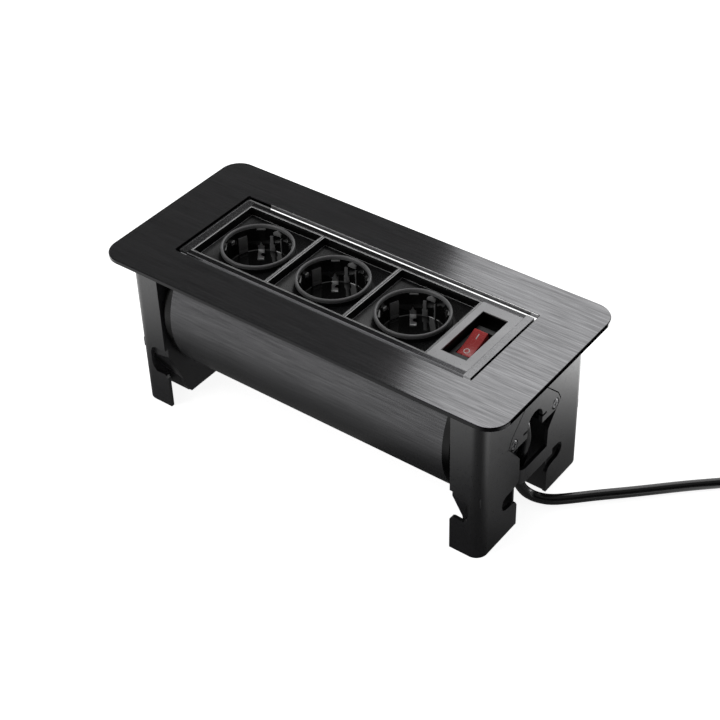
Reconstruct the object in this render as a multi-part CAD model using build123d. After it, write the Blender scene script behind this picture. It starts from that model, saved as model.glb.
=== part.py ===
from build123d import *
from math import atan2, cos, degrees, hypot, pi, radians, sin, tan
import os

# Flip-over desk socket unit: a flange plate that lies in a cut-out of a desk top,
# two end brackets below it, and a drum between them that turns about a long axis.
# One side of the drum carries three sockets and a rocker switch, the other a flat lid.
# Millimetres. X runs along the unit, Y to the back, Z up.
# The origin is under the middle of the unit, at the level of the bracket feet.

# flange plate
PLATE_X = 268.0
PLATE_Y = 120.0
PLATE_T = 2.5
PLATE_CORNER = 12.5
TOP_Z = 105.0
WINDOW_X = 201.0
WINDOW_Y = 66.0

# end brackets
BRACKET_OUT = 120.5
BRACKET_IN = 100.6
BRACKET_Y = 51.0
BRACKET_CORNER = 7.0
WALL = 2.2
INNER_WALL = 2.5

# drum
AXIS_Z = 63.5
DRUM_R = 49.5
SHELL_T = 2.0
SHELL_X = 94.3
DRUM_X = 98.8
FACE_H = 40.5
FACE_Y = 30.5
SEAT_H = 39.0
JOURNAL_R = 9.7
BORE_R = 10.0

# socket modules
SOCKET_X = (-67.3, -13.0, 41.3)
MODULE = 54.0
RIM_T = 1.0
TRAY_FLOOR = 34.5
WELL_OUT_R = 21.5
WELL_R = 19.7
WELL_TOP = 39.0
WELL_DEPTH = 17.5
PIN_OFFSET = 9.5
PIN_ANGLE = 36.0
PIN_HOLE_R = 2.5

# switch
SWITCH_X = 81.2
RECESS_X = 16.0
RECESS_Y = 40.0
ROCKER_PIVOT_H = 29.3
ROCKER_HALF = 9.0
ROCKER_END_H = 8.2
ROCKER_DISH = 5.5
ROCKER_TILT = 17.0
ROCKER_W = 8.6

# lead
LEAD_R = 3.1
GLAND_END = 105.8
COIL_R = 36.0
COIL_ROWS = 3
COIL_LAYERS = 2
COIL_STUB = 24.0
PLUG_R = 19.5
PLUG_H = 22.0
PLUG_NECK = 30.0
PLUG_LEAD = 22.0
PIN_LENGTH = 19.0

os.makedirs("parts", exist_ok=True)


def block(x0, x1, y0, y1, z0, z1):
    size = (x1 - x0, y1 - y0, z1 - z0)
    middle = ((x0 + x1) / 2, (y0 + y1) / 2, (z0 + z1) / 2)
    return Pos(*middle) * Box(*size)


def rod(start, end, radius):
    """Round bar between two points."""
    a = Vector(*start)
    b = Vector(*end)
    plane = Plane(origin=a, z_dir=(b - a).normalized())
    return extrude(plane * Circle(radius), (b - a).length)


def prism_x(points, x0, x1):
    """Outline given as (y, z), carried along X from x0 to x1."""
    face = Plane.YZ.offset(x0) * make_face(Polyline(*[(y, z) for y, z in points], close=True))
    return extrude(face, x1 - x0)


def prism_y(points, y0, y1):
    """Outline given as (x, z), carried along Y from y0 to y1."""
    plane = Plane(origin=(0, y0, 0), x_dir=(1, 0, 0), z_dir=(0, -1, 0))
    face = plane * make_face(Polyline(*[(x, z) for x, z in points], close=True))
    return extrude(face, -(y1 - y0))


def turn_half(shape):
    """The same piece at the other end of the unit."""
    return Rot(0, 0, 180) * shape


def save(shape, name, at=(0, 0, 0)):
    moved = Pos(*at) * shape
    export_step(moved, "parts/" + name + ".step")
    return moved


# ---------------------------------------------------------------- flange plate

def make_top_plate():
    outline = Rectangle(PLATE_X, PLATE_Y)
    outline = fillet(outline.vertices(), PLATE_CORNER)
    window = Rectangle(WINDOW_X, WINDOW_Y)
    window = fillet(window.vertices(), 1.0)
    plate = extrude(Pos(0, 0, TOP_Z - PLATE_T) * (outline - window), PLATE_T)
    rim = plate.edges().filter_by_position(Axis.Z, TOP_Z - 0.01, TOP_Z + 0.01)
    plate = chamfer(rim, 0.4)
    for x, y in flange_screw_places():
        plate -= rod((x, y, TOP_Z - PLATE_T - 1), (x, y, TOP_Z - 1.1), 1.6)
    return plate


def flange_screw_places():
    places = []
    for side in (-1, 1):
        for y in (-41, -14, 14, 41):
            places.append((side * 110.5, y))
    return places


# ---------------------------------------------------------------- end brackets

def end_opening():
    """Right half of the opening in the end wall, as (y, z), from the top down."""
    return [
        (0, 83.1), (8.0, 83.1), (23.2, 68.1), (26.2, 62.4), (16.9, 51.1), (14.3, 47.6),
        (13.9, 36.5), (14.5, 31.6), (17.5, 29.5), (20.6, 29.3), (26.8, 29.0),
        (29.6, 27.4), (30.4, 24.2), (29.4, 20.8), (26.5, 19.0), (20.4, 18.5),
        (16.8, 17.4), (15.3, 14.8), (15.3, -1), (0, -1),
    ]


def wing_notch():
    """Hooked notch in a side wing, as (x, z)."""
    return [
        (99, 42.2), (108.4, 42.2), (111.0, 40.8), (112.2, 37.6), (112.4, 30.5),
        (111.6, 26.4), (109.3, 23.6), (103.2, 23.9), (101.8, 23.2), (101.0, 21.2), (99, 21.2),
    ]


def make_gusset():
    """Web with two sloping facets that closes the clamp pocket behind the front wing's notch."""
    corner_a = Vector(112.0, -50.9, 39.8)
    corner_b = Vector(100.6, -50.9, 42.1)
    corner_c = Vector(100.6, -38.3, 12.8)
    corner_d = Vector(116.0, -37.0, 14.0)
    web = block(BRACKET_IN + 1, BRACKET_OUT - WALL + 0.5, -BRACKET_Y + WALL - 0.4, -32.5, 12.8, 44)
    for last in (corner_b, corner_d):
        normal = (last - corner_a).cross(corner_c - corner_a).normalized()
        if normal.Y < 0:
            normal = -normal
        web = split(web, Plane(origin=corner_a, z_dir=normal), keep=Keep.TOP)
    return web


def make_bracket():
    height = TOP_Z - PLATE_T
    outer = block(BRACKET_IN, BRACKET_OUT, -BRACKET_Y, BRACKET_Y, 0, height)
    corners = outer.edges().filter_by(Axis.Z).group_by(Axis.X)[-1]
    outer = fillet(corners, BRACKET_CORNER)
    inside_y = BRACKET_Y - WALL
    cavity = block(BRACKET_IN - 5, BRACKET_OUT - WALL, -inside_y, inside_y, -1, height - 2.2)
    corners = cavity.edges().filter_by(Axis.Z).group_by(Axis.X)[-1]
    cavity = fillet(corners, BRACKET_CORNER - WALL)
    shell = outer - cavity

    # opening in the end wall, mirrored about the middle
    half = end_opening()
    outline = half + [(-y, z) for y, z in reversed(half) if y > 0]
    shell -= prism_x(outline, BRACKET_OUT - WALL - 3, BRACKET_OUT + 5)

    # inner wall that carries the drum, with its bearing bore
    inner_end = BRACKET_IN + INNER_WALL
    wall = block(BRACKET_IN, inner_end, -inside_y - 0.5, inside_y + 0.5, 0, height)
    wall -= rod((BRACKET_IN - 1, 0, AXIS_Z), (inner_end + 1, 0, AXIS_Z), BORE_R)
    for side in (-1, 1):
        corner = [(side * 53, 42.1), (side * 50.9, 42.1), (side * 38.3, 12.8), (side * 37.4, 6.7)]
        corner += [(side * 32.8, 0), (side * 32.8, -1), (side * 53, -1)]
        wall -= prism_x(corner, BRACKET_IN - 1, inner_end + 1)
    shell += wall

    # ribs beside the clamp pockets, and posts for the hub plate screws
    for side in (-1, 1):
        for y0, y1 in ((31.5, 33.3), (15.9, 17.5)):
            rib = block(inner_end - 0.5, BRACKET_OUT - WALL + 0.5, y0, y1, 0, 50)
            if side < 0:
                rib = mirror(rib, Plane.XZ)
            shell += rib
        gusset = make_gusset()
        if side > 0:
            gusset = mirror(gusset, Plane.XZ)
        shell += gusset
        post = rod((inner_end - 0.5, side * 20.5, 61.6), (118.1, side * 20.5, 61.6), 3.6)
        post += block(inner_end - 0.5, 112, side * 20.5 - 0.9, side * 20.5 + 0.9, 61.6, height - 1)
        shell += post
    for side in (-1, 1):
        shell -= rod((106, side * 20.5, 61.6), (119, side * 20.5, 61.6), 1.6)

    # cable hook: a bar across the opening whose free end turns inwards
    bar = block(BRACKET_OUT - 2.0, BRACKET_OUT, -7, 20.2, 25.2, 35.5)
    curl = Pos(BRACKET_OUT - 6, -7, 30.35) * (Cylinder(6, 10.3) - Cylinder(4, 12))
    curl &= block(BRACKET_OUT - 6, BRACKET_OUT + 1, -14, -7, 25.2, 35.5)
    shell += bar + curl

    # hooked notches in the wings
    notch = prism_y(wing_notch(), -BRACKET_Y - 2, -BRACKET_Y + WALL + 0.4)
    shell -= notch
    shell -= mirror(notch, Plane.XZ)

    # holes in the top flange
    for x, y in flange_screw_places():
        if x > 0:
            shell -= rod((x, y, height - 5), (x, y, height + 1), 1.6)
    return shell


def make_hub_plate():
    """Horseshoe that closes the upper part of the end wall's opening."""
    half = [(7.6, 82.6), (22.7, 67.7), (25.5, 62.3), (21.4, 57.2)]
    outline = half + [(-y, z) for y, z in reversed(half)]
    plate = prism_x(outline, 118.1, BRACKET_OUT)
    plate -= rod((117, 0, AXIS_Z), (122, 0, AXIS_Z), 7.5)
    plate -= block(117, 122, -7.5, 7.5, 50, AXIS_Z)
    for side in (-1, 1):
        slit = block(117, 122, 7, 11.6, 61.5, 63.0)
        if side < 0:
            slit = mirror(slit, Plane.XZ)
        plate -= slit
        plate -= rod((117, side * 20.5, 61.6), (122, side * 20.5, 61.6), 1.7)
        plate -= rod((119.0, side * 20.5, 61.6), (122, side * 20.5, 61.6), 3.5)
    return plate


def make_hub_screws():
    screws = []
    for side in (-1, 1):
        head = rod((119.0, side * 20.5, 61.6), (120.7, side * 20.5, 61.6), 3.0)
        head = chamfer(head.edges().group_by(Axis.X)[-1], 0.5)
        for angle in (0, 90):
            cross = block(119.9, 121, -1.9, 1.9, -0.35, 0.35)
            head -= Pos(0, side * 20.5, 61.6) * Rot(angle, 0, 0) * cross
        head += rod((107, side * 20.5, 61.6), (119.2, side * 20.5, 61.6), 1.5)
        screws.append(head)
    screws += [turn_half(s) for s in screws]
    return Compound(children=screws)


def make_flange_screws():
    screws = []
    seat = TOP_Z - PLATE_T - 2.2
    for x, y in flange_screw_places():
        head = rod((x, y, seat - 1.8), (x, y, seat), 2.8)
        slot = Pos(x, y, seat - 1.8) * Box(4.4, 0.8, 1.4)
        head -= slot
        head += rod((x, y, seat - 0.3), (x, y, TOP_Z - 1.3), 1.5)
        screws.append(head)
    return Compound(children=screws)


def make_washer():
    """Friction washer between the drum's end and the bracket's inner wall."""
    ring = rod((99.3, 0, AXIS_Z), (BRACKET_IN, 0, AXIS_Z), 17)
    return ring - rod((99, 0, AXIS_Z), (101, 0, AXIS_Z), JOURNAL_R + 0.4)


def make_gland():
    """Cable gland on the bracket's inner wall, in line with the drum's journal."""
    x0 = BRACKET_IN + INNER_WALL
    gland = rod((x0, 0, AXIS_Z), (x0 + 1.4, 0, AXIS_Z), 14)
    tip = Plane(origin=(x0 + 1.4, 0, AXIS_Z), z_dir=(1, 0, 0)) * Circle(5.6)
    end = Plane(origin=(GLAND_END, 0, AXIS_Z), z_dir=(1, 0, 0)) * Circle(4.6)
    gland += loft([tip, end])
    for side in (-1, 1):
        y = side * 11.5 * cos(radians(40))
        z = AXIS_Z - side * 11.5 * sin(radians(40))
        gland -= rod((x0 - 1, y, z), (x0 + 3, y, z), 1.3)
    return gland - rod((x0 - 1, 0, AXIS_Z), (x0 + 0.9, 0, AXIS_Z), 4.0)


# ---------------------------------------------------------------- drum

def boss_places():
    places = []
    for angle in (24, 156, 204, 336):
        places.append((44.7 * cos(radians(angle)), 44.7 * sin(radians(angle))))
    return places


def make_shell():
    """Extruded drum body: two curved sides, a floor behind the lid, screw channels, ledges."""
    length = 2 * SHELL_X
    tube = Rot(0, 90, 0) * (Cylinder(DRUM_R, length) - Cylinder(DRUM_R - SHELL_T, length + 2))
    tube &= block(-SHELL_X, SHELL_X, -60, 60, -SEAT_H, SEAT_H)
    floor_y = 28.6
    tube += block(-SHELL_X, SHELL_X, -floor_y, floor_y, -SEAT_H, -SEAT_H + 1.8)
    for side in (-1, 1):
        ledge = block(-SHELL_X, SHELL_X, 24.6, 34.4, TRAY_FLOOR - 2.6, TRAY_FLOOR - 1.0)
        if side < 0:
            ledge = mirror(ledge, Plane.XZ)
        tube += ledge
    for y, z in boss_places():
        tube += rod((-SHELL_X, y, z), (SHELL_X, y, z), 3.3)
    for y, z in boss_places():
        for side in (-1, 1):
            tube -= rod((side * (SHELL_X + 1), y, z), (side * (SHELL_X - 16), y, z), 1.6)
    return tube


def make_lid():
    lid = block(-SHELL_X, SHELL_X, -FACE_Y, FACE_Y, -FACE_H, -SEAT_H)
    rim = lid.edges().filter_by_position(Axis.Z, -FACE_H - 0.01, -FACE_H + 0.01)
    return chamfer(rim.filter_by(Axis.X), 0.5)


def make_rail():
    """Edge rail of the socket face, with fine grooves along it. Back rail."""
    rail = block(-SHELL_X, SHELL_X, 27.2, FACE_Y, SEAT_H, FACE_H)
    outer = rail.edges().filter_by(Axis.X).sort_by(Axis.Z)[-2:].sort_by(Axis.Y)[-1]
    rail = chamfer(outer, 0.4)
    for y in (28.0, 28.8, 29.6):
        rail -= block(-SHELL_X - 1, SHELL_X + 1, y - 0.2, y + 0.2, FACE_H - 0.45, FACE_H + 1)
    return rail


def make_end_cap(hollow):
    """Right end of the drum, with its journal."""
    disc = rod((SHELL_X, 0, 0), (DRUM_X, 0, 0), DRUM_R)
    disc &= block(SHELL_X, DRUM_X, -60, 60, -SEAT_H, SEAT_H)
    disc += block(SHELL_X, DRUM_X, -FACE_Y, FACE_Y, -FACE_H, FACE_H)
    disc += rod((DRUM_X - 0.5, 0, 0), (BRACKET_IN + INNER_WALL - 0.3, 0, 0), JOURNAL_R)
    for y, z in boss_places():
        disc -= rod((SHELL_X - 1, y, z), (DRUM_X + 1, y, z), 1.6)
        disc -= rod((DRUM_X - 1.9, y, z), (DRUM_X + 1, y, z), 3.0)
    if hollow:
        disc -= rod((SHELL_X - 1, 0, 0), (BRACKET_IN + 5, 0, 0), LEAD_R + 0.5)
    return disc


def make_cap_screws():
    screws = []
    for y, z in boss_places():
        head = rod((DRUM_X - 1.9, y, z), (DRUM_X - 0.2, y, z), 2.7)
        head -= Pos(DRUM_X - 0.2, y, z) * Box(1.4, 4.2, 0.8)
        head += rod((DRUM_X - 2.1, y, z), (SHELL_X - 12, y, z), 1.5)
        screws.append(head)
    screws += [turn_half(s) for s in screws]
    return Compound(children=screws)


def diagonal(distance, angle):
    return (distance * cos(radians(angle)), distance * sin(radians(angle)))


def make_socket():
    """Socket module: square tray, round well with ring, keys, pin holes and clip slots."""
    half = MODULE / 2
    tray = block(-half, half, -half, half, TRAY_FLOOR - 1.0, FACE_H)
    inside = half - RIM_T
    tray -= block(-inside, inside, -inside, inside, TRAY_FLOOR, FACE_H + 1)
    well_floor = WELL_TOP - WELL_DEPTH
    tray += Pos(0, 0, (well_floor - 2 + WELL_TOP) / 2) * Cylinder(WELL_OUT_R, WELL_DEPTH + 2)
    tray -= Pos(0, 0, (well_floor + WELL_TOP + 5) / 2) * Cylinder(WELL_R, WELL_DEPTH + 5)
    # two keys on the pin axis
    for angle, width in ((PIN_ANGLE, 5.0), (PIN_ANGLE + 180, 7.0)):
        x, y = diagonal(WELL_R - 0.9, angle)
        key = Box(2.4, width, WELL_DEPTH - 1.0)
        tray += Pos(x, y, (well_floor + WELL_TOP - 1.0) / 2) * Rot(0, 0, angle) * key
    tray &= block(-half, half, -half, half, well_floor - 2, FACE_H)
    # pin holes
    for angle in (PIN_ANGLE, PIN_ANGLE + 180):
        x, y = diagonal(PIN_OFFSET, angle)
        tray -= Pos(x, y, well_floor) * Cylinder(PIN_HOLE_R, 8)
    # slots that the earth clips rise through
    for angle in (PIN_ANGLE + 90, PIN_ANGLE + 270):
        x, y = diagonal(WELL_R - 0.6, angle)
        tray -= Pos(x, y, well_floor - 2) * Rot(0, 0, angle) * Box(4.6, 6.6, 8)
    return tray


def make_earth_clip():
    """Spring strip under the well whose two ends stand up inside it."""
    well_floor = WELL_TOP - WELL_DEPTH
    under = well_floor - 2
    strip = Box(2 * WELL_R - 0.2, 5.4, 0.8)
    strip = Pos(0, 0, under - 0.6) * strip
    for side in (-1, 1):
        leg = [
            (side * 19.1, under - 1.0), (side * 19.1, well_floor + 9), (side * 17.3, well_floor + 12.5),
            (side * 18.6, well_floor + 15.6), (side * 17.9, well_floor + 15.9),
            (side * 16.4, well_floor + 12.5), (side * 18.3, well_floor + 8.7), (side * 18.3, under - 1.0),
        ]
        strip += prism_y(leg, -2.7, 2.7)
    return Rot(0, 0, PIN_ANGLE + 90) * strip


def make_busbar(side):
    """Contact strip under the three sockets with a sleeve below each pin hole."""
    well_floor = WELL_TOP - WELL_DEPTH
    offset = PIN_OFFSET * sin(radians(PIN_ANGLE)) * side
    top = well_floor - 2
    xs = [x + PIN_OFFSET * cos(radians(PIN_ANGLE)) * side for x in SOCKET_X]
    strip = block(xs[0] - 4.5, SHELL_X - 22, offset - 3, offset + 3, top - 9.4, top - 8.4)
    for x in xs:
        sleeve = rod((x, offset, top - 8.6), (x, offset, top), 3.4)
        strip += sleeve
    for x in xs:
        strip -= rod((x, offset, top - 7.6), (x, offset, top + 1), 2.45)
    return strip


def make_switch_panel():
    """Flat module beside the sockets, with a rectangular recess for the switch."""
    x0 = SOCKET_X[2] + MODULE / 2 + 0.3
    x1 = SHELL_X - 0.1
    half = MODULE / 2
    body = block(x0, x1, -half, half, TRAY_FLOOR - 1.0, FACE_H)
    body -= block(x0 + 1.2, x1 - 1.2, -half + 1.2, half - 1.2, TRAY_FLOOR - 2, FACE_H - 1.5)
    rx = RECESS_X / 2
    ry = RECESS_Y / 2
    sump = block(SWITCH_X - rx - 1.2, SWITCH_X + rx + 1.2, -ry - 1.2, ry + 1.2, 31.5, FACE_H - 1.0)
    body += sump
    body -= block(SWITCH_X - rx, SWITCH_X + rx, -ry, ry, 33.0, FACE_H + 1)
    body -= block(SWITCH_X - 6.3, SWITCH_X + 6.3, -13.3, 13.3, 30, 34)
    return body


def make_switch_housing():
    bezel = block(SWITCH_X - 7.4, SWITCH_X + 7.4, -15.2, 15.2, 33.0, 34.8)
    bezel = chamfer(bezel.edges().group_by(Axis.Z)[-1], 0.5)
    body = block(SWITCH_X - 6.1, SWITCH_X + 6.1, -13.1, 13.1, 14.0, 33.2)
    housing = bezel + body
    cavity = block(SWITCH_X - 4.7, SWITCH_X + 4.7, -11.6, 11.6, 23.0, 36)
    housing -= cavity
    for side in (-1, 1):
        x = SWITCH_X + side * 5.2
        housing -= Pos(x, 0, ROCKER_PIVOT_H) * Rot(0, 90, 0) * Cylinder(1.65, 1.2)
    return housing


def make_switch_tabs():
    tabs = []
    for y in (-8.0, 0.0, 8.0):
        tabs.append(block(SWITCH_X - 3.1, SWITCH_X + 3.1, y - 0.4, y + 0.4, 5.5, 14.0))
    return Compound(children=tabs)


def make_rocker():
    """Rocker with a shallow dished top. It rests with its front end pressed."""
    dip = ROCKER_HALF * tan(radians(ROCKER_DISH))
    outline = [
        (-ROCKER_HALF, ROCKER_END_H), (0, ROCKER_END_H - dip), (ROCKER_HALF, ROCKER_END_H),
        (8.4, 3.0), (3.6, -3.0), (-3.6, -3.0), (-8.4, 3.0),
    ]
    body = prism_x(outline, -ROCKER_W / 2, ROCKER_W / 2)
    body += Rot(0, 90, 0) * Cylinder(1.5, ROCKER_W + 1.9)
    body = Rot(ROCKER_TILT, 0, 0) * body
    return Pos(SWITCH_X, 0, ROCKER_PIVOT_H) * body


def make_terminal_block():
    """Three-way screw terminal on the drum's floor, below the switch."""
    body = block(54, 78, -16, 16, -37.2, -21)
    for y in (-10, 0, 10):
        body -= rod((53, y, -27), (79, y, -27), 2.2)
        body -= rod((60, y, -27), (60, y, -20), 1.9)
        body -= rod((72, y, -27), (72, y, -20), 1.9)
    return body


def make_terminal_screws():
    screws = []
    for y in (-10, 0, 10):
        for x in (60, 72):
            head = rod((x, y, -25), (x, y, -21.6), 1.7)
            head -= Pos(x, y, -21.6) * Box(3, 0.6, 1.2)
            screws.append(head)
    return Compound(children=screws)


INNER_ROUTE = [
    (BRACKET_IN + INNER_WALL - 0.3, 0.0, 0.0), (96.8, 0.0, 0.0), (92.4, 0.0, -0.8), (89.4, 0.0, -3.4),
    (87.9, 0.0, -7.2), (87.4, 0.0, -11.8), (87.0, 0.0, -16.4), (86.0, 0.0, -20.6),
    (84.0, 0.0, -24.2), (81.5, 0.0, -26.2), (79.0, 0.0, -27.0),
]


def make_inner_lead():
    """Lead inside the drum, from the journal to the terminal block."""
    return make_tube(INNER_ROUTE, LEAD_R)


# ---------------------------------------------------------------- lead

LEAD_ROUTE = [
    (105.8, 0.0, 63.5), (107.7, 0.0, 63.5), (109.5, 0.0, 63.0), (111.2, 0.0, 62.0),
    (112.5, 0.0, 60.7), (113.4, 0.1, 59.0), (113.9, 0.4, 57.2), (114.0, 1.3, 53.6),
    (113.9, 2.4, 47.0), (113.4, 0.6, 37.0), (112.4, -2.6, 26.0), (112.8, -2.0, 17.5),
    (114.4, 0.6, 10.2), (117.4, 4.0, 5.0), (121.9, 6.0, 3.4), (128.2, 8.8, 3.1),
    (136.0, 15.8, 3.1), (146.5, 26.3, 3.1), (163.0, 41.6, 3.1), (184.0, 62.2, 3.1),
    (200.0, 76.5, 3.1), (212.0, 87.7, 3.1),
]


def corner_radii(points):
    """One radius for each inner point, as large as its two runs allow."""
    radii = []
    for a, b, c in zip(points, points[1:], points[2:]):
        first = Vector(*b) - Vector(*a)
        second = Vector(*c) - Vector(*b)
        turn = first.get_angle(second)
        shorter = min(first.length, second.length)
        radii.append(0.45 * shorter / tan(radians(turn / 2)))
        print("run", round(first.length, 1), "turn", round(turn, 1), "radius", round(radii[-1], 1))
    return radii


def make_tube(points, radius):
    path = FilletPolyline(*points, radius=corner_radii(points))
    start = Vector(*points[0])
    plane = Plane(origin=start, z_dir=Vector(*points[1]) - start)
    tube = sweep(plane * Circle(radius), path)
    expected = pi * radius ** 2 * path.length
    print("tube", round(path.length, 1), "mm,", round(tube.volume), "of", round(expected), "mm3")
    return tube


def lead_end():
    """End of the free stretch and its direction over the floor."""
    a = Vector(*LEAD_ROUTE[-2])
    b = Vector(*LEAD_ROUTE[-1])
    return b, (b - a).normalized()


def coil_places():
    """Radius of the outer turn, the coil's centre, and where the tail leaves it."""
    end, along = lead_end()
    outer = COIL_R + (COIL_ROWS - 1) * LEAD_R
    touch = end + along * COIL_STUB
    centre = touch + Vector(along.Y, -along.X, 0) * outer
    tail_z = (2 * COIL_LAYERS - 1) * LEAD_R
    tail = Vector(centre.X + outer, centre.Y, tail_z)
    return outer, centre, tail


def make_coil():
    """Outer shape of the wound lead, with the straight ends that run into it."""
    end, along = lead_end()
    outer, centre, tail = coil_places()
    height = 2 * COIL_LAYERS * LEAD_R
    half_width = COIL_ROWS * LEAD_R
    ring = Cylinder(COIL_R + half_width - 0.3, height - 0.6)
    ring -= Cylinder(COIL_R - half_width, height + 2)
    ring = Pos(centre.X, centre.Y, height / 2) * ring
    ring += rod(end, end + along * COIL_STUB, LEAD_R)
    ring += rod(tail, tail + Vector(0, -COIL_STUB, 0), LEAD_R)
    ring -= make_tie()
    turns = COIL_ROWS * COIL_LAYERS - 1 + degrees(atan2(along.X, along.Y)) / 360 + 0.25
    print("coil centre", centre, "outer turn", outer, "turns", round(turns, 3))
    print("coil length", round(turns * 2 * pi * COIL_R + 2 * COIL_STUB, 1))
    return ring


def make_tie():
    """Strap round the wound lead."""
    outer, centre, tail = coil_places()
    height = 2 * COIL_LAYERS * LEAD_R
    half_width = COIL_ROWS * LEAD_R
    y = centre.Y - COIL_R
    x = centre.X
    strap = block(x - 4, x + 4, y - half_width - 1.0, y + half_width + 1.4, 0, height + 1.0)
    return strap - block(x - 5, x + 5, y - half_width + 0.2, y + half_width + 0.4, 0.9, height)


def plug_place():
    outer, centre, tail = coil_places()
    y = tail.Y - COIL_STUB - PLUG_LEAD - PLUG_NECK - PLUG_R + 3
    return Vector(tail.X, y, tail.Z)


def make_plug_lead():
    outer, centre, tail = coil_places()
    start = tail + Vector(0, -COIL_STUB, 0)
    return rod(start, start + Vector(0, -PLUG_LEAD, 0), LEAD_R)


def make_plug_body():
    """Angled mains plug lying on its back, the lead entering from the side."""
    place = plug_place()
    body = Pos(place.X, place.Y, PLUG_H / 2) * Cylinder(PLUG_R, PLUG_H)
    body = fillet(body.edges().filter_by(GeomType.CIRCLE).group_by(Axis.Z)[0], 3.0)
    neck_y = place.Y + PLUG_R - 3
    wide = Plane(origin=(place.X, neck_y - 4, place.Z), z_dir=(0, 1, 0)) * Circle(8.2)
    thin = Plane(origin=(place.X, neck_y + PLUG_NECK, place.Z), z_dir=(0, 1, 0)) * Circle(4.3)
    body += loft([wide, thin])
    for side in (-1, 1):
        body -= Pos(place.X, place.Y + side * PLUG_R, PLUG_H - 7) * Box(7.2, 2.4, 14.2)
    for side in (-1, 1):
        x = place.X + side * PIN_OFFSET
        body -= rod((x, place.Y, PLUG_H - 8), (x, place.Y, PLUG_H + 1), 2.4)
    return body


def make_plug_pins():
    place = plug_place()
    pins = []
    for side in (-1, 1):
        x = place.X + side * PIN_OFFSET
        pin = rod((x, place.Y, PLUG_H - 8), (x, place.Y, PLUG_H + PIN_LENGTH), 2.4)
        pins.append(fillet(pin.edges().group_by(Axis.Z)[-1], 1.0))
    return Compound(children=pins)


def make_plug_earths():
    place = plug_place()
    strips = []
    for side in (-1, 1):
        y = place.Y + side * (PLUG_R - 0.7)
        strips.append(Pos(place.X, y, PLUG_H - 7) * Box(6.4, 0.9, 14.0))
    return Compound(children=strips)


if __name__ == "__main__":
    up = (0, 0, AXIS_Z)

    save(make_top_plate(), "top_plate")
    bracket = make_bracket()
    save(bracket, "end_bracket_right")
    save(turn_half(bracket), "end_bracket_left")
    hub = make_hub_plate()
    save(hub, "hub_plate_right")
    save(turn_half(hub), "hub_plate_left")
    save(make_hub_screws(), "hub_screws")
    save(make_flange_screws(), "flange_screws")
    washer = make_washer()
    save(washer, "pivot_washer_right")
    save(turn_half(washer), "pivot_washer_left")
    save(make_gland(), "cable_gland")

    save(make_shell(), "drum_shell", up)
    save(make_lid(), "drum_lid", up)
    rail = make_rail()
    save(rail, "rail_back", up)
    save(turn_half(rail), "rail_front", up)
    save(make_end_cap(True), "end_cap_right", up)
    save(turn_half(make_end_cap(False)), "end_cap_left", up)
    save(make_cap_screws(), "cap_screws", up)
    socket = make_socket()
    clip = make_earth_clip()
    for number, x in enumerate(SOCKET_X, 1):
        save(socket, "socket_%d" % number, (x, 0, AXIS_Z))
        save(clip, "earth_clip_%d" % number, (x, 0, AXIS_Z))
    save(make_busbar(1), "line_busbar", up)
    save(make_busbar(-1), "neutral_busbar", up)
    save(make_switch_panel(), "switch_panel", up)
    save(make_switch_housing(), "switch_housing", up)
    save(make_switch_tabs(), "switch_tabs", up)
    save(make_rocker(), "rocker", up)
    save(make_terminal_block(), "terminal_block", up)
    save(make_terminal_screws(), "terminal_screws", up)
    save(make_inner_lead(), "inner_lead", up)

    save(make_tube(LEAD_ROUTE, LEAD_R), "power_cable")
    save(make_coil(), "cable_coil")
    save(make_tie(), "coil_tie")
    save(make_plug_lead(), "plug_lead")
    save(make_plug_body(), "plug_body")
    save(make_plug_pins(), "plug_pins")
    save(make_plug_earths(), "plug_earths")
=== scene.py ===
import bpy
import bmesh
import math
from mathutils import Matrix, Vector


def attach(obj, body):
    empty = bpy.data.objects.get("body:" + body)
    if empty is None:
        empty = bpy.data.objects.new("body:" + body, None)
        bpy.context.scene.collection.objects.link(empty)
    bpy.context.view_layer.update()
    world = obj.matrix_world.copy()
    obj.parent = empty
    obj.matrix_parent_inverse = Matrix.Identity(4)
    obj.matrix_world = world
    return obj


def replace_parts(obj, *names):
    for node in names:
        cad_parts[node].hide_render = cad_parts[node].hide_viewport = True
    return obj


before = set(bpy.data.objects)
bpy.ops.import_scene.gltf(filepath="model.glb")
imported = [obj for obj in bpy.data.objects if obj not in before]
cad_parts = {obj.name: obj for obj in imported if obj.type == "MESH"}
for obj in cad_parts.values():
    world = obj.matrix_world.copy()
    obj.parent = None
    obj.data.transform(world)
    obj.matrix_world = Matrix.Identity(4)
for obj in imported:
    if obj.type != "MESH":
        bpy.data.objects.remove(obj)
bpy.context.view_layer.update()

MM = 0.001


# ---------------------------------------------------------------- camera

CAMERA_PLACE = (0.45335, -0.57416, 0.64827)
CAMERA_AIM = (0.044538, -0.051993, 0.105)
CAMERA_ROLL = -1.953
CAMERA_LENS = 82.81
SENSOR_WIDTH = 36.0


def make_camera():
    place = Vector(CAMERA_PLACE)
    aim = Vector(CAMERA_AIM)
    roll = math.radians(CAMERA_ROLL)
    back = (place - aim).normalized()
    right = Vector((0, 0, 1)).cross(back).normalized()
    up = back.cross(right)
    turned_right = right * math.cos(roll) + up * math.sin(roll)
    turned_up = up * math.cos(roll) - right * math.sin(roll)
    data = bpy.data.cameras.new("camera")
    data.lens = CAMERA_LENS
    data.sensor_width = SENSOR_WIDTH
    data.clip_start = 0.01
    data.clip_end = 50.0
    camera = bpy.data.objects.new("camera", data)
    bpy.context.collection.objects.link(camera)
    turn = Matrix((turned_right, turned_up, back)).transposed().to_4x4()
    camera.matrix_world = Matrix.Translation(place) @ turn
    bpy.context.scene.camera = camera


make_camera()


# ---------------------------------------------------------------- mains lead

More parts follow.
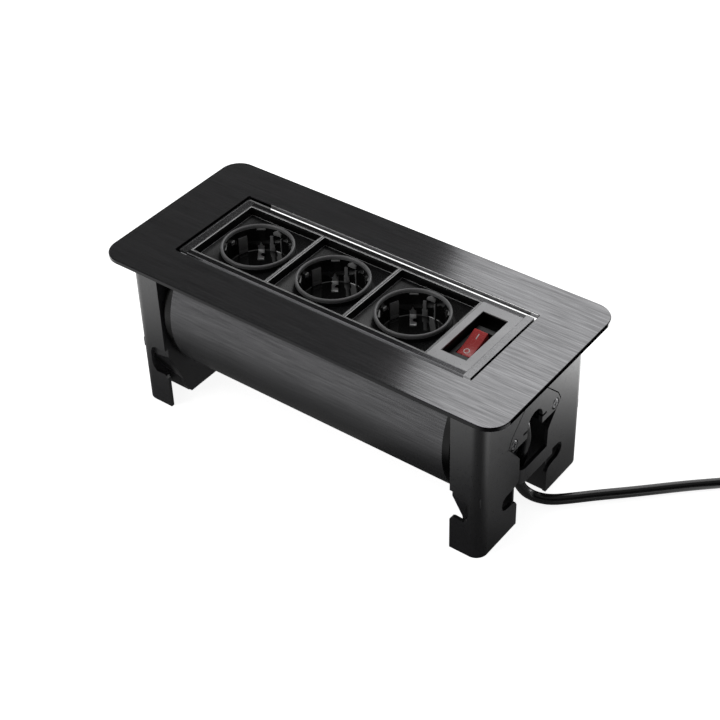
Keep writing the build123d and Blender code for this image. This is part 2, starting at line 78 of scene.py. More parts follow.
LEAD_R = 3.1
LEAD_ROUTE = [
    (105.8, 0.0, 63.5), (107.7, 0.0, 63.5), (109.5, 0.0, 63.0), (111.2, 0.0, 62.0),
    (112.5, 0.0, 60.7), (113.4, 0.1, 59.0), (113.9, 0.4, 57.2), (114.0, 1.3, 53.6),
    (113.9, 2.4, 47.0), (113.4, 0.6, 37.0), (112.4, -2.6, 26.0), (112.8, -2.0, 17.5),
    (114.4, 0.6, 10.2), (117.4, 4.0, 5.0), (121.9, 6.0, 3.4), (128.2, 8.8, 3.1),
    (136.0, 15.8, 3.1), (146.5, 26.3, 3.1), (163.0, 41.6, 3.1), (184.0, 62.2, 3.1),
    (200.0, 76.5, 3.1), (212.0, 87.7, 3.1),
]
COIL_R = 36.0
COIL_ROWS = (1, 0, -1, -1, 0, 1)
COIL_STUB = 24.0
TAIL = (6.0, 20.0, 46.0)
POINTS_PER_TURN = 16
SPLINE_SHRINK = 0.981  # radius of the spline round a turn, as a share of its points'
ROW_SHIFT = (0.84, 1.0)  # part of a turn in which the lead changes rows
LIFT = (2.66, 2.86)  # turns after which it lies on top of the lower layer


def smooth(value, low, high):
    t = min(max((value - low) / (high - low), 0.0), 1.0)
    return t * t * (3 - 2 * t)


def coil_points():
    """Turns of the put-away lead, clockwise from above, and the short tail to the plug."""
    end = Vector(LEAD_ROUTE[-1])
    along = (end - Vector(LEAD_ROUTE[-2])).normalized()
    outer = COIL_R + 2 * LEAD_R
    touch = end + along * COIL_STUB
    centre = touch + Vector((along.y, -along.x, 0)) * outer
    start = math.atan2(touch.y - centre.y, touch.x - centre.x)
    turns = len(COIL_ROWS) - 1 + start / (2 * math.pi)
    count = round(turns * POINTS_PER_TURN)
    points = [tuple(end + along * COIL_STUB * 0.55)]
    for k in range(1, count):
        turned = turns * k / count
        lap = int(turned)
        shift = smooth(turned - lap, *ROW_SHIFT)
        row = COIL_ROWS[lap]
        if lap + 1 < len(COIL_ROWS):
            row += (COIL_ROWS[lap + 1] - row) * shift
        radius = (COIL_R + 2 * LEAD_R * row) / SPLINE_SHRINK
        angle = start - turned * 2 * math.pi
        z = LEAD_R + 2 * LEAD_R * smooth(turned, *LIFT)
        points.append((centre.x + radius * math.cos(angle), centre.y + radius * math.sin(angle), z))
    tail_x = centre.x + outer
    for y in TAIL:
        points.append((tail_x, centre.y - y, 3 * LEAD_R))
    return points


def make_curve(name, points, radius):
    data = bpy.data.curves.new(name, "CURVE")
    data.dimensions = "3D"
    spline = data.splines.new("NURBS")
    spline.points.add(len(points) - 1)
    for item, point in zip(spline.points, points):
        item.co = (point[0] * MM, point[1] * MM, point[2] * MM, 1.0)
        item.radius = radius * MM
    spline.order_u = 3
    spline.use_endpoint_u = True
    spline.resolution_u = 8
    data.bevel_depth = 1.0  # times each point's radius; a curve's box counts the radius too
    data.bevel_resolution = 6
    data.use_fill_caps = True
    curve = bpy.data.objects.new(name, data)
    bpy.context.collection.objects.link(curve)
    return curve


lead = make_curve("mains_lead", LEAD_ROUTE + coil_points(), LEAD_R)
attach(lead, "frame")
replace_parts(lead, "power_cable", "cable_coil", "plug_lead")


# ---------------------------------------------------------------- materials

def new_material(name):
    material = bpy.data.materials.new(name)
    material.use_nodes = True
    nodes = material.node_tree.nodes
    return material, nodes, material.node_tree.links, nodes["Principled BSDF"]


def set_inputs(node, values):
    for key, value in values.items():
        node.inputs[key].default_value = value


def stretched_noise(nodes, links, scale, detail=4.0, rough=0.6):
    """Noise in the piece's own frame, stretched by the three scales, per metre."""
    place = nodes.new("ShaderNodeTexCoord")
    mapping = nodes.new("ShaderNodeMapping")
    mapping.inputs["Scale"].default_value = scale
    noise = nodes.new("ShaderNodeTexNoise")
    set_inputs(noise, {"Scale": 1.0, "Detail": detail, "Roughness": rough})
    links.new(place.outputs["Object"], mapping.inputs["Vector"])
    links.new(mapping.outputs["Vector"], noise.inputs["Vector"])
    return noise.outputs["Fac"]


def ramp(nodes, links, source, low, high, start=0.3, end=0.7):
    """Colour or grey from low to high as the source goes from start to end."""
    node = nodes.new("ShaderNodeValToRGB")
    elements = node.color_ramp.elements
    for element, position, value in ((elements[0], start, low), (elements[1], end, high)):
        element.position = position
        element.color = (value, value, value, 1) if isinstance(value, float) else (*value, 1)
    links.new(source, node.inputs["Fac"])
    return node.outputs["Color"]


def combine(nodes, links, blend, first, second):
    """Two colours multiplied or added."""
    mix = nodes.new("ShaderNodeMix")
    mix.data_type = "RGBA"
    mix.blend_type = blend
    mix.inputs["Factor"].default_value = 1.0
    links.new(first, mix.inputs["A"])
    links.new(second, mix.inputs["B"])
    return mix.outputs["Result"]


def add_bump(nodes, links, shader, height, distance, strength=1.0):
    bump = nodes.new("ShaderNodeBump")
    set_inputs(bump, {"Strength": strength, "Distance": distance})
    links.new(height, bump.inputs["Height"])
    links.new(bump.outputs["Normal"], shader.inputs["Normal"])


FINE_SHARE = 0.65
GRAIN_START, GRAIN_END = 0.36, 0.64
# Near black painted on side faces as painted shade.
SIDE_PAINTED_SHADE = (0.012, 0.012, 0.0125, 1)


def brushed(name, dark, light, rough_low, rough_high, depth=3e-6, painted_shade_sides=False):
    """Metal brushed along X. With shaded sides, faces that don't point up or down are painted near black as
    painted shade, and the brushing is only where they face up or down.
    """
    material, nodes, links, shader = new_material(name)
    fine = stretched_noise(nodes, links, (48, 1700, 1700), detail=3.0)
    broad = stretched_noise(nodes, links, (34, 900, 900), detail=3.0)
    mix = nodes.new("ShaderNodeMath")
    mix.operation = "MULTIPLY_ADD"
    mix.inputs[1].default_value = FINE_SHARE
    links.new(fine, mix.inputs[0])
    part = nodes.new("ShaderNodeMath")
    part.operation = "MULTIPLY"
    part.inputs[1].default_value = 1 - FINE_SHARE
    links.new(broad, part.inputs[0])
    links.new(part.outputs[0], mix.inputs[2])
    colour = ramp(nodes, links, mix.outputs[0], dark, light, GRAIN_START, GRAIN_END)
    surface = nodes.new("ShaderNodeNewGeometry")
    # Faces that don't point up or down get the near-black painted shade.
    if painted_shade_sides:
        parts = nodes.new("ShaderNodeSeparateXYZ")
        links.new(surface.outputs["Normal"], parts.inputs[0])
        upright = nodes.new("ShaderNodeMath")
        upright.operation = "ABSOLUTE"
        links.new(parts.outputs["Z"], upright.inputs[0])
        mask = ramp(nodes, links, upright.outputs[0], 0.0, 1.0, 0.93, 0.97)
        sides = nodes.new("ShaderNodeMix")
        sides.data_type = "RGBA"
        sides.inputs["A"].default_value = SIDE_PAINTED_SHADE
        links.new(mask, sides.inputs["Factor"])
        links.new(colour, sides.inputs["B"])
        colour = sides.outputs["Result"]
    links.new(colour, shader.inputs["Base Color"])
    gloss = ramp(nodes, links, mix.outputs[0], rough_high, rough_low, GRAIN_START, GRAIN_END)
    links.new(gloss, shader.inputs["Roughness"])
    set_inputs(shader, {"Metallic": 1.0, "Anisotropic": 1.0})
    across = nodes.new("ShaderNodeVectorMath")
    across.operation = "CROSS_PRODUCT"
    across.inputs[1].default_value = (1, 0, 0)
    links.new(surface.outputs["Normal"], across.inputs[0])
    links.new(across.outputs[0], shader.inputs["Tangent"])
    add_bump(nodes, links, shader, mix.outputs[0], depth)
    return material


def moulded(name, colour, rough, grain=900.0, depth=3e-6, spread=0.08, specular=0.5, metallic=0.0):
    """Moulded or powder-coated surface with a fine grain."""
    material, nodes, links, shader = new_material(name)
    fine = stretched_noise(nodes, links, (grain, grain, grain), detail=3.0)
    broad = stretched_noise(nodes, links, (35, 35, 35), detail=2.0)
    dark = tuple(c * 0.85 for c in colour)
    light = tuple(c * 1.15 for c in colour)
    links.new(ramp(nodes, links, broad, dark, light), shader.inputs["Base Color"])
    links.new(ramp(nodes, links, fine, max(rough - spread, 0.02), rough + spread), shader.inputs["Roughness"])
    set_inputs(shader, {"Specular IOR Level": specular, "Metallic": metallic})
    add_bump(nodes, links, shader, fine, depth)
    return material


def dark_below(material, level, colour):
    """Give the material another colour below a height, in metres in the piece's own frame."""
    nodes = material.node_tree.nodes
    links = material.node_tree.links
    target = nodes["Principled BSDF"].inputs["Base Color"]
    place = nodes.new("ShaderNodeTexCoord")
    parts = nodes.new("ShaderNodeSeparateXYZ")
    links.new(place.outputs["Object"], parts.inputs[0])
    height = nodes.new("ShaderNodeMapRange")
    set_inputs(height, {"From Min": level - 0.0001, "From Max": level + 0.0001})
    links.new(parts.outputs["Z"], height.inputs["Value"])
    mix = nodes.new("ShaderNodeMix")
    mix.data_type = "RGBA"
    mix.inputs["A"].default_value = (*colour, 1)
    links.new(height.outputs["Result"], mix.inputs["Factor"])
    links.new(target.links[0].from_socket, mix.inputs["B"])
    links.new(mix.outputs["Result"], target)


def speckled(name, dark, light, rough):
    """Plastic with a coarse spark-eroded texture."""
    material, nodes, links, shader = new_material(name)
    grain = stretched_noise(nodes, links, (1500, 1500, 1500), detail=2.0)
    links.new(ramp(nodes, links, grain, dark, light, 0.4, 0.66), shader.inputs["Base Color"])
    set_inputs(shader, {"Roughness": rough, "Specular IOR Level": 0.2})
    add_bump(nodes, links, shader, grain, 2e-5)
    return material


def plain_metal(name, colour, rough):
    material, nodes, links, shader = new_material(name)
    fine = stretched_noise(nodes, links, (700, 700, 700), detail=3.0)
    links.new(ramp(nodes, links, fine, rough * 0.8, rough * 1.2), shader.inputs["Roughness"])
    dark = tuple(c * 0.9 for c in colour)
    links.new(ramp(nodes, links, fine, dark, colour), shader.inputs["Base Color"])
    shader.inputs["Metallic"].default_value = 1.0
    add_bump(nodes, links, shader, fine, 2e-6)
    return material


# The plate's side faces are painted near black as painted shade.
PLATE = brushed("plate", (0.105, 0.105, 0.108), (0.205, 0.205, 0.211), 0.178, 0.187, painted_shade_sides=True)
DRUM = brushed("drum", (0.038, 0.038, 0.0393), (0.07, 0.07, 0.072), 0.25, 0.27)
RAIL = brushed("rail", (0.075, 0.075, 0.078), (0.115, 0.115, 0.119), 0.2, 0.25)
COATED = moulded("powder_coat", (0.009, 0.009, 0.0098), 0.34, grain=1400.0, depth=4e-6, specular=0.5)
BLACK = moulded("black_plastic", (0.009, 0.009, 0.0095), 0.42)
CAP = moulded("cap_plastic", (0.17, 0.17, 0.174), 0.24, grain=1100.0, metallic=1.0)
TRAY = speckled("tray_plastic", (0.002, 0.002, 0.0021), (0.032, 0.032, 0.033), 0.26)
PANEL = moulded("panel_plastic", (0.29, 0.29, 0.296), 0.33, grain=1500.0, metallic=0.6)
dark_below(PANEL, 0.1032, (0.004, 0.004, 0.004))
# End caps near black below 0.1 m: partly the caps' black plastic, partly painted shade from the brackets.
dark_below(CAP, 0.1, (0.01, 0.01, 0.01))
GLOSS = moulded("well_plastic", (0.008, 0.008, 0.008), 0.07, spread=0.02, depth=1e-6)
SCREW = plain_metal("screw_steel", (0.16, 0.16, 0.165), 0.32)
NICKEL = plain_metal("nickel", (0.72, 0.71, 0.69), 0.2)
BRASS = plain_metal("brass", (0.72, 0.52, 0.22), 0.3)
LEAD = moulded("lead_pvc", (0.006, 0.006, 0.0065), 0.16, grain=500.0, depth=3e-6, spread=0.03)
NYLON = moulded("nylon", (0.6, 0.59, 0.55), 0.45)
RED = moulded("rocker_red", (0.55, 0.045, 0.045), 0.26, spread=0.05, depth=1e-6, specular=0.7)

NODE_MATERIALS = {
    PLATE: ["top_plate"],
    COATED: ["end_bracket_right", "end_bracket_left", "hub_plate_right", "hub_plate_left"],
    SCREW: ["hub_screws", "flange_screws", "cap_screws", "terminal_screws"],
    BLACK: [
        "cable_gland", "switch_housing", "coil_tie",
        "pivot_washer_right", "pivot_washer_left", "plug_body",
    ],
    DRUM: ["drum_shell", "drum_lid"],
    RAIL: ["rail_back", "rail_front"],
    CAP: ["end_cap_right", "end_cap_left"],
    TRAY: ["socket_1", "socket_2", "socket_3"],
    PANEL: ["switch_panel"],
    NICKEL: ["earth_clip_1", "earth_clip_2", "earth_clip_3", "switch_tabs", "plug_pins", "plug_earths"],
    BRASS: ["line_busbar", "neutral_busbar"],
    NYLON: ["terminal_block"],
    LEAD: ["inner_lead"],
    RED: ["rocker"],
}


def assign(obj, material):
    for slot in obj.material_slots:
        slot.link = "OBJECT"
        slot.material = material


for material, names in NODE_MATERIALS.items():
    for name in names:
        assign(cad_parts[name], material)
lead.data.materials.append(LEAD)


# ---------------------------------------------------------------- mesh helpers

def link_mesh(name, data, material, body, at=(0, 0, 0)):
    piece = bpy.data.objects.new(name, data)
    bpy.context.collection.objects.link(piece)
    piece.location = at
    if material and not data.materials:
        data.materials.append(material)
    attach(piece, body)
    return piece


def shade(data, angle=35):
    for polygon in data.polygons:
        polygon.use_smooth = True
    data.set_sharp_from_angle(angle=math.radians(angle))


def lathe(name, profile, centre=(0, 0), segments=96):
    """Closed outline (radius, z) in millimetres turned about a vertical axis."""
    rows = len(profile)
    vertices = []
    faces = []
    for k in range(segments):
        angle = 2 * math.pi * k / segments
        for radius, z in profile:
            x = centre[0] + radius * math.cos(angle)
            y = centre[1] + radius * math.sin(angle)
            vertices.append((x * MM, y * MM, z * MM))
        step = (k + 1) % segments
        for row in range(rows):
            after = (row + 1) % rows
            faces.append((k * rows + row, step * rows + row, step * rows + after, k * rows + after))
    data = bpy.data.meshes.new(name)
    data.from_pydata(vertices, [], faces)
    data.validate()
    fix_normals(data)
    return data


def fix_normals(data):
    mesh = bmesh.new()
    mesh.from_mesh(data)
    bmesh.ops.remove_doubles(mesh, verts=mesh.verts, dist=1e-7)
    bmesh.ops.recalc_face_normals(mesh, faces=mesh.faces)
    mesh.to_mesh(data)
    mesh.free()


def prism(name, outline, low, high, axis="Z"):
    """Closed outline in millimetres carried along an axis: (x, y) along Z, (y, z) along X, (x, z) along Y."""
    order = {
        "Z": lambda a, b, c: (a, b, c),
        "X": lambda a, b, c: (c, a, b),
        "Y": lambda a, b, c: (a, c, b),
    }[axis]
    count = len(outline)
    vertices = []
    for level in (low, high):
        for a, b in outline:
            vertices.append(tuple(v * MM for v in order(a, b, level)))
    faces = [tuple(range(count)), tuple(range(2 * count - 1, count - 1, -1))]
    for k in range(count):
        after = (k + 1) % count
        faces.append((k, after, count + after, count + k))
    data = bpy.data.meshes.new(name)
    data.from_pydata(vertices, [], faces)
    fix_normals(data)
    return data


def brick(name, x0, x1, y0, y1, z0, z1):
    return prism(name, [(x0, y0), (x1, y0), (x1, y1), (x0, y1)], z0, z1)


def round_bar(name, x, y, radius, z0, z1, segments=48):
    outline = []
    for k in range(segments):
        angle = 2 * math.pi * k / segments
        outline.append((x + radius * math.cos(angle), y + radius * math.sin(angle)))
    return prism(name, outline, z0, z1)


def worked(data, cutters=(), bevel=0.0, joined=(), segments=2):
    """The mesh with others joined or cut away and its sharp edges rounded."""
    scene = bpy.context.scene.collection
    base = bpy.data.objects.new("work", data)
    scene.objects.link(base)
    helpers = []
    for operation, meshes in (("UNION", joined), ("DIFFERENCE", cutters)):
        for mesh in meshes:
            other = bpy.data.objects.new("work_other", mesh)
            scene.objects.link(other)
            other.hide_render = True
            helpers.append(other)
            step = base.modifiers.new("step", "BOOLEAN")
            step.operation = operation
            step.object = other
            step.solver = "EXACT"
    if bevel:
        step = base.modifiers.new("bevel", "BEVEL")
        step.width = bevel * MM
        step.segments = segments
        step.limit_method = "ANGLE"
        step.angle_limit = math.radians(40)
    graph = bpy.context.evaluated_depsgraph_get()
    result = bpy.data.meshes.new_from_object(base.evaluated_get(graph))
    name = data.name
    for other in helpers + [base]:
        used = other.data
        bpy.data.objects.remove(other)
        bpy.data.meshes.remove(used)
    result.name = name
    return result


# ---------------------------------------------------------------- socket modules

FACE_Z = 104.0
TRAY_WALL = 1.0
TRAY_Z = 98.0
WELL_TOP_Z = 102.5
WELL_FLOOR_Z = 85.0
MODULE_HALF = 27.0
RING_OUT = 21.5
RING_IN = 19.7
PIN_ANGLE = 36.0
PIN_OFFSET = 9.5
PIN_HOLE_R = 2.5
SOCKET_X = (-67.3, -13.0, 41.3)
RIVET_OFFSET = 14.2
RIVET_SIDE = 1.5
RIVET_R = 1.6
FLOOR_CUT = (WELL_FLOOR_Z - 4, WELL_FLOOR_Z + 3)
RING_FOOT_Z = WELL_TOP_Z - 2.2
WELL_FLOOR_UNDER_Z = WELL_FLOOR_Z - 1.8
# ribs on a well's wall: angle, width, bottom and top above its floor
WALL_RIBS = [
    (158.5, 5.8, 0.3, 2.8), (106.0, 1.9, 0.3, 10.5), (105.6, 3.2, 0.3, 4.8),
    (87.0, 0.6, 0.3, 10.5), (124.0, 5.0, 14.4, 15.0),
]

# Pale grey given to the trays' bevelled edges as a painted highlight.
TRAY_EDGE_HIGHLIGHT = moulded("tray_edge_highlight", (0.6, 0.6, 0.605), 0.25, grain=1500.0, specular=0.8)
WALL = moulded("wall_plastic", (0.006, 0.006, 0.006), 0.2, grain=900.0, spread=0.05)
RING = moulded("ring_plastic", (0.17, 0.17, 0.172), 0.3, grain=700.0, spread=0.05)
CLIP = plain_metal("clip_steel", (0.75, 0.75, 0.75), 0.42)
PAD = moulded("pad_plastic", (0.28, 0.28, 0.28), 0.35, grain=600.0)
FLOOR = moulded("well_floor", (0.01, 0.01, 0.01), 0.08, spread=0.02, depth=1e-6)
FLOOR.node_tree.nodes["Principled BSDF"].inputs["IOR"].default_value = 2.4


def arc(cx, cz, radius, first, last, steps):
    """Points of an arc in an (r, z) outline, angles in degrees."""
    points = []
    for k in range(steps + 1):
        angle = math.radians(first + (last - first) * k / steps)
        points.append((cx + radius * math.cos(angle), cz + radius * math.sin(angle)))
    return points


def polar(radius, angle):
    return radius * math.cos(math.radians(angle)), radius * math.sin(math.radians(angle))


def wall_pad(name, angle, width, low, high, depth, tip=0.0):
    """Raised strip on the inside of the well, its top cut to a point if tip is given."""
    half = width / 2
    outline = [(-half, low), (half, low), (half, high - tip), (0, high), (-half, high - tip)]
    data = prism(name, outline, RING_IN - depth, RING_IN + 0.4, "Y")
    turn = Matrix.Rotation(math.radians(angle - 90), 4, "Z")
    data.transform(turn)
    return data


def socket_meshes():
    """Meshes of one socket module about its own axis, each with its material and slot."""
    half = MODULE_HALF
    tray = brick("tray", -half, half, -half, half, TRAY_Z - 1, FACE_Z)
    inner = half - TRAY_WALL
    hollow = brick("cut", -inner, inner, -inner, inner, TRAY_Z, FACE_Z + 1)
    hole = round_bar("cut", 0, 0, RING_OUT - 0.1, TRAY_Z - 3, TRAY_Z + 3, 96)
    tray = worked(tray, [hollow, hole], bevel=0.35)
    for material in (TRAY, WALL, TRAY_EDGE_HIGHLIGHT):
        tray.materials.append(material)
    for polygon in tray.polygons:
        slope = abs(polygon.normal.z)
        if polygon.center.z < (TRAY_Z + 0.5) * MM and slope > 0.5:
            polygon.material_index = 0
        # Sloped bevel faces get the pale grey of a painted edge highlight; flat tops and walls stay near
        # black.
        elif 0.1 < slope < 0.95:
            polygon.material_index = 2
        else:
            polygon.material_index = 1
    shade(tray)

    lip = (RING_OUT - RING_IN) / 2
    middle = (RING_OUT + RING_IN) / 2
    ring = [(RING_OUT, RING_FOOT_Z)] + arc(middle, WELL_TOP_Z - lip, lip, 0, 180, 10)
    ring += [(RING_IN, RING_FOOT_Z)]
    ring = lathe("ring", ring)
    shade(ring)

    well = [(RING_OUT, RING_FOOT_Z), (RING_IN, RING_FOOT_Z)]
    well += arc(RING_IN - 0.8, WELL_FLOOR_Z + 0.8, 0.8, 0, -90, 6)
    well += [(0.001, WELL_FLOOR_Z), (0.001, WELL_FLOOR_UNDER_Z), (RING_OUT, WELL_FLOOR_UNDER_Z)]
    well = lathe("well", well)
    holes = []
    for angle in (PIN_ANGLE, PIN_ANGLE + 180):
        x, y = polar(PIN_OFFSET, angle)
        holes.append(round_bar("cut", x, y, PIN_HOLE_R, *FLOOR_CUT))
        rivet = round_bar("cut", RIVET_OFFSET, -RIVET_SIDE, RIVET_R, *FLOOR_CUT)
        rivet.transform(Matrix.Rotation(math.radians(angle + 90), 4, "Z"))
        holes.append(rivet)
    well = worked(well, holes)
    well.materials.append(GLOSS)
    well.materials.append(FLOOR)
    for polygon in well.polygons:
        polygon.material_index = 1 if polygon.normal.z > 0.5 else 0
    shade(well)

    low = WELL_FLOOR_Z
    pads = wall_pad("pads", PIN_ANGLE + 180, 7.0, low, WELL_TOP_Z - 1.2, 1.9)
    others = [wall_pad("pad", PIN_ANGLE, 5.0, low, WELL_TOP_Z - 1.2, 1.9)]
    pads = worked(pads, joined=others, bevel=0.3)
    shade(pads)

    guides = wall_pad("guides", 158.5, 5.8, low + 3.2, low + 11.3, 0.9)
    others = []
    for angle, width, bottom, top in WALL_RIBS:
        others.append(wall_pad("rib", angle, width, low + bottom, low + top, 0.9))
    others.append(wall_pad("cap", 93.5, 5.2, low + 12.2, low + 15.4, 1.3, tip=1.6))
    guides = worked(guides, joined=others, bevel=0.2)
    shade(guides)

    clips = []
    for angle in (PIN_ANGLE + 90, PIN_ANGLE + 270):
        clips.append(clip_leg(angle))
    # A small steel tab high on the wall at 180 degrees, joined to the clips, that stands in for a glint on
    # the well's wall: a painted highlight.
    glint_tab = wall_pad("glint_tab", 180.0, 2.8, low + 9.6, low + 12.0, 1.0)
    clips = worked(clips[0], joined=[clips[1], glint_tab], bevel=0.12)
    shade(clips)
    return [
        (tray, None, "tray_plastic"), (ring, RING, "tray_plastic"), (well, None, "tray_plastic"),
        (pads, GLOSS, "tray_plastic"), (guides, PAD, "tray_plastic"), (clips, CLIP, "clip_metal"),
    ]


def clip_leg(angle):
    """Earth contact: a strip that lies on the well's floor and stands up the wall to a point."""
    path = [
        (9.4, 0.0, 9.4, 0.5, 1.9), (17.7, 0.0, 17.7, 0.5, 1.9), (19.2, 0.0, 18.6, 0.9, 1.9),
        (19.4, 3.2, 18.8, 3.2, 1.9), (19.4, 3.3, 18.8, 3.3, 1.2), (19.4, 6.0, 18.8, 6.0, 0.15),
    ]
    vertices = []
    for radius, z, inner_radius, inner_z, half in path:
        for r, height in ((radius, z), (inner_radius, inner_z)):
            for side in (-half, half):
                vertices.append((r * MM, side * MM, (WELL_FLOOR_Z + height) * MM))
    faces = []
    for k in range(len(path) - 1):
        a = 4 * k
        b = a + 4
        faces += [(a, a + 1, b + 1, b), (a + 3, a + 2, b + 2, b + 3)]
        faces += [(a + 1, a + 3, b + 3, b + 1), (a + 2, a, b, b + 2)]
    last = 4 * (len(path) - 1)
    faces += [(0, 2, 3, 1), (last, last + 1, last + 3, last + 2)]
    data = bpy.data.meshes.new("clips")
    data.from_pydata(vertices, [], faces)
    fix_normals(data)
    rivet = round_bar("cut", RIVET_OFFSET, -RIVET_SIDE, RIVET_R, *FLOOR_CUT)
    data = worked(data, [rivet])
    data.transform(Matrix.Rotation(math.radians(angle), 4, "Z"))
    return data


def make_sockets():
    meshes = socket_meshes()
    for number, x in enumerate(SOCKET_X, start=1):
        for data, material, slot in meshes:
            piece = link_mesh(f"socket_{data.name}_{number}", data, material, "drum", at=(x * MM, 0, 0))
            if data.name == "clips":
                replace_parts(piece, f"earth_clip_{number}")
            elif data.name == "tray":
                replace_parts(piece, f"socket_{number}")


make_sockets()


# ---------------------------------------------------------------- rocker and window edge

MARK = moulded("mark_paint", (0.85, 0.8, 0.78), 0.4)
EDGE = plain_metal("milled_edge", (0.9, 0.9, 0.9), 0.35)
ROCKER_PIVOT = (81.2, 0.0, 92.8)
ROCKER_TILT = 17.0
ROCKER_HALF = 9.0
ROCKER_WIDE = 4.3
ROCKER_TOP = 8.2
ROCKER_DIP = ROCKER_HALF * math.tan(math.radians(5.5))
MARK_LIFT = 0.03


def rocker_frame():
    tilt = Matrix.Rotation(math.radians(ROCKER_TILT), 4, "X")
    place = Matrix.Translation(Vector(ROCKER_PIVOT) * MM)
    return place @ tilt


def rocker_top(y):
    """Height of the hollowed top above the pivot, in millimetres."""
    return ROCKER_TOP - ROCKER_DIP * (1 - (y / ROCKER_HALF) ** 2)


def on_top(y, slope):
    """Place of a mark on the rocker's top."""
    place = Matrix.Translation(Vector((0, y, rocker_top(y) + MARK_LIFT)) * MM)
    return place @ Matrix.Rotation(slope, 4, "X")


def make_rocker():
    outline = []
    for k in range(13):
        y = -ROCKER_HALF + 2 * ROCKER_HALF * k / 12
        outline.append((y, rocker_top(y)))
    outline += [(8.4, 3.0), (3.6, -3.0), (-3.6, -3.0), (-8.4, 3.0)]
    body = worked(prism("rocker_body", outline, -ROCKER_WIDE, ROCKER_WIDE, "X"), bevel=0.35, segments=3)
    shade(body, 50)
    body.transform(rocker_frame())
    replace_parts(link_mesh("rocker_button", body, RED, "rocker_body"), "rocker")

    bar = brick("rocker_bar", -0.28, 0.28, -1.7, 1.7, -0.1, 0.05)
    bar.transform(on_top(5.0, 0.107))
    ring = lathe("rocker_ring", [(1.75, -0.1), (1.75, 0.07), (1.3, 0.07), (1.3, -0.1)], segments=48)
    ring.transform(on_top(-5.6, -0.12))
    for mark in (bar, ring):
        mark.transform(rocker_frame())
        link_mesh(mark.name, mark, MARK, "rocker_body")


def make_end_lip():
    """Lip of the left end cap that fills the window's end."""
    lip = worked(brick("drum_end_lip", -100.15, -98.6, -30.5, 30.5, 101.6, FACE_Z), bevel=0.2)
    shade(lip)
    link_mesh("drum_end_lip", lip, CAP, "drum")


def make_window_edge():
    """Bright milled face of the plate's window, along the back."""
    outline = [(32.7, 102.5), (33.0, 102.5), (33.0, 105.03), (32.7, 105.03)]
    strip = prism("window_edge", outline, -84.0, 100.0, "X")
    link_mesh("window_edge", strip, EDGE, "frame")


make_rocker()
make_end_lip()
make_window_edge()


# ---------------------------------------------------------------- floor and light

FLOOR_HALF = 20.0
CARD_HALF = 3.0
CARD_Z = -0.002
UNIT_HALF = (0.13, 0.06, 0)


def flat_square(name, half):
    data = bpy.data.meshes.new(name)
    corners = [(-half, -half, 0), (half, -half, 0), (half, half, 0), (-half, half, 0)]
    data.from_pydata(corners, [], [(0, 1, 2, 3)])
    square = bpy.data.objects.new(name, data)
    bpy.context.collection.objects.link(square)
    return square


def along(nodes, links, source, direction):
    """How far a vector points in a direction."""
    dot = nodes.new("ShaderNodeVectorMath")
    dot.operation = "DOT_PRODUCT"
    dot.inputs[1].default_value = direction
    links.new(source, dot.inputs[0])
    return dot.outputs["Value"]


def make_floor():
    floor = flat_square("floor", FLOOR_HALF)
    material, nodes, links, shader = new_material("floor_paper")
    grain = stretched_noise(nodes, links, (60, 60, 60))
    links.new(ramp(nodes, links, grain, (0.82, 0.82, 0.82), (0.86, 0.86, 0.86)), shader.inputs["Base Color"])
    set_inputs(shader, {"Roughness": 0.9, "Specular IOR Level": 0.1})
    set_inputs(shader, {"Emission Color": (1, 1, 1, 1), "Emission Strength": 0.9})
    floor.data.materials.append(material)
    floor.visible_glossy = False


def make_floor_card():
    """What shiny faces see of the floor: a painted shadow close round the unit, pale farther out."""
    card = flat_square("floor_card", CARD_HALF)
    card.location = (0, 0, CARD_Z)
    material, nodes, links, shader = new_material("floor_card")
    place = nodes.new("ShaderNodeNewGeometry")
    chain = place.outputs["Position"]
    for operation, vector in (("ABSOLUTE", None), ("SUBTRACT", UNIT_HALF), ("MAXIMUM", (0, 0, 0))):
        step = nodes.new("ShaderNodeVectorMath")
        step.operation = operation
        links.new(chain, step.inputs[0])
        if vector:
            step.inputs[1].default_value = vector
        chain = step.outputs[0]
    flat = nodes.new("ShaderNodeVectorMath")
    flat.operation = "MULTIPLY"
    flat.inputs[1].default_value = (1, 1, 0)
    links.new(chain, flat.inputs[0])
    away = nodes.new("ShaderNodeVectorMath")
    away.operation = "LENGTH"
    links.new(flat.outputs[0], away.inputs[0])
    near = ramp(nodes, links, away.outputs["Value"], 0.12, 0.4, 0.003, 0.05)
    far = ramp(nodes, links, away.outputs["Value"], 0.0, 1.4, 0.045, 0.1)
    glow = combine(nodes, links, "ADD", near, far)
    corner = nodes.new("ShaderNodeVectorMath")
    corner.operation = "NORMALIZE"
    links.new(place.outputs["Position"], corner.inputs[0])
    front_right = along(nodes, links, corner.outputs[0], (0.8, -0.6, 0))
    shadow = ramp(nodes, links, front_right, 1.0, 0.15, 0.86, 0.97)
    back_right = along(nodes, links, corner.outputs[0], (0.6, 0.8, 0))
    lit = ramp(nodes, links, back_right, 0.4, 1.0, 0.75, 0.97)
    glow = combine(nodes, links, "MULTIPLY", glow, shadow)
    glow = combine(nodes, links, "MULTIPLY", glow, lit)
    links.new(glow, shader.inputs["Emission Color"])
    set_inputs(shader, {"Base Color": (0, 0, 0, 1), "Specular IOR Level": 0.0, "Emission Strength": 2.5})
    card.data.materials.append(material)
    card.visible_camera = False
    card.visible_diffuse = False
    card.visible_shadow = False
    card.visible_transmission = False


def area_light(name, place, aim, width, height, radiance, turn=0.0):
    data = bpy.data.lights.new(name, "AREA")
    data.shape = "RECTANGLE"
    data.size = width
    data.size_y = height
    data.energy = radiance * math.pi * width * height
    light = bpy.data.objects.new(name, data)
    bpy.context.collection.objects.link(light)
    facing = (Vector(aim) - Vector(place)).to_track_quat("-Z", "Y").to_matrix().to_4x4()
    light.matrix_world = Matrix.Translation(place) @ facing @ Matrix.Rotation(math.radians(turn), 4, "Z")


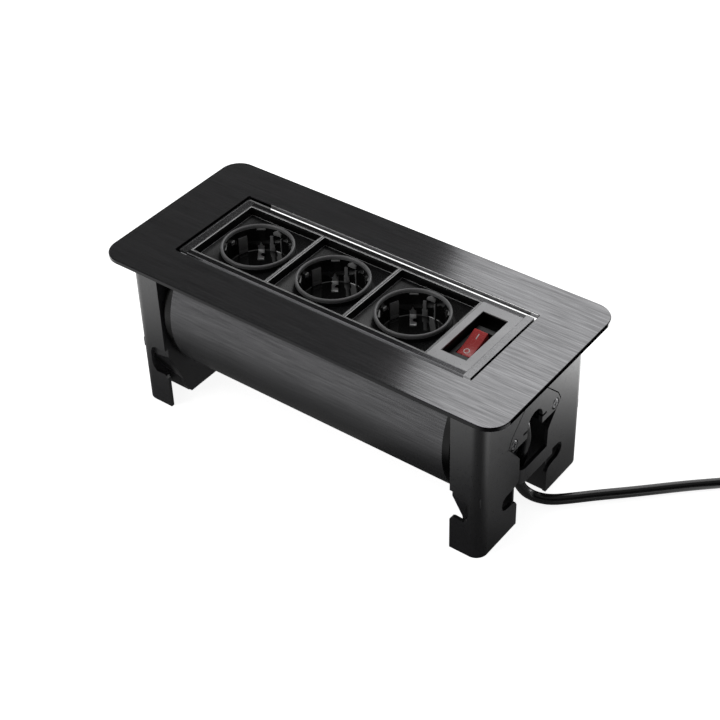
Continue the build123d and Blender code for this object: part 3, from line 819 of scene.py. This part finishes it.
# height round the studio, from straight down to straight up, and its brightness
WORLD_STOPS = [
    (0.0, 0.3), (0.3, 0.6), (0.46, 0.95), (0.56, 0.95),
    (0.66, 0.24), (0.772, 0.12), (0.8, 0.05), (1.0, 0.25),
]
DIM_SIDE = (0.616, -0.788, 0)


def make_world():
    """Studio surround: bright round the horizon, dimmer above and below, darkest at the front right."""
    world = bpy.data.worlds.new("studio")
    world.use_nodes = True
    nodes = world.node_tree.nodes
    links = world.node_tree.links
    place = nodes.new("ShaderNodeTexCoord")
    parts = nodes.new("ShaderNodeSeparateXYZ")
    links.new(place.outputs["Generated"], parts.inputs[0])
    height = nodes.new("ShaderNodeMapRange")
    set_inputs(height, {"From Min": -1.0, "From Max": 1.0})
    links.new(parts.outputs["Z"], height.inputs["Value"])
    levels = nodes.new("ShaderNodeValToRGB")
    elements = levels.color_ramp.elements
    while len(elements) < len(WORLD_STOPS):
        elements.new(0.5)
    for element, (position, value) in zip(elements, WORLD_STOPS):
        element.position = position
        element.color = (value, value, value, 1)
    links.new(height.outputs["Result"], levels.inputs["Fac"])
    side = along(nodes, links, place.outputs["Generated"], DIM_SIDE)
    shade_side = nodes.new("ShaderNodeMapRange")
    shade_side.interpolation_type = "SMOOTHSTEP"
    set_inputs(shade_side, {"From Min": 0.35, "From Max": 0.8, "To Min": 1.0, "To Max": 0.2})
    links.new(side, shade_side.inputs["Value"])
    light = combine(nodes, links, "MULTIPLY", levels.outputs["Color"], shade_side.outputs["Result"])
    links.new(light, nodes["Background"].inputs["Color"])
    nodes["Background"].inputs["Strength"].default_value = 1.0
    bpy.context.scene.world = world


make_floor()
make_floor_card()
make_world()
area_light("back_softbox", (-0.233, 1.0, 1.05), (-0.1, 0, 0.1), 0.78, 1.3, 1.95, turn=-2.5)
area_light("front_softbox", (-0.6, -1.25, 0.2), (-0.05, -0.05, 0.07), 1.2, 0.26, 2.2)
area_light("key_softbox", (-0.9, -1.1, 1.6), (0, 0, 0.05), 1.0, 1.0, 2.2)
bpy.context.scene.view_settings.view_transform = "Standard"
bpy.context.scene.view_settings.look = "None"
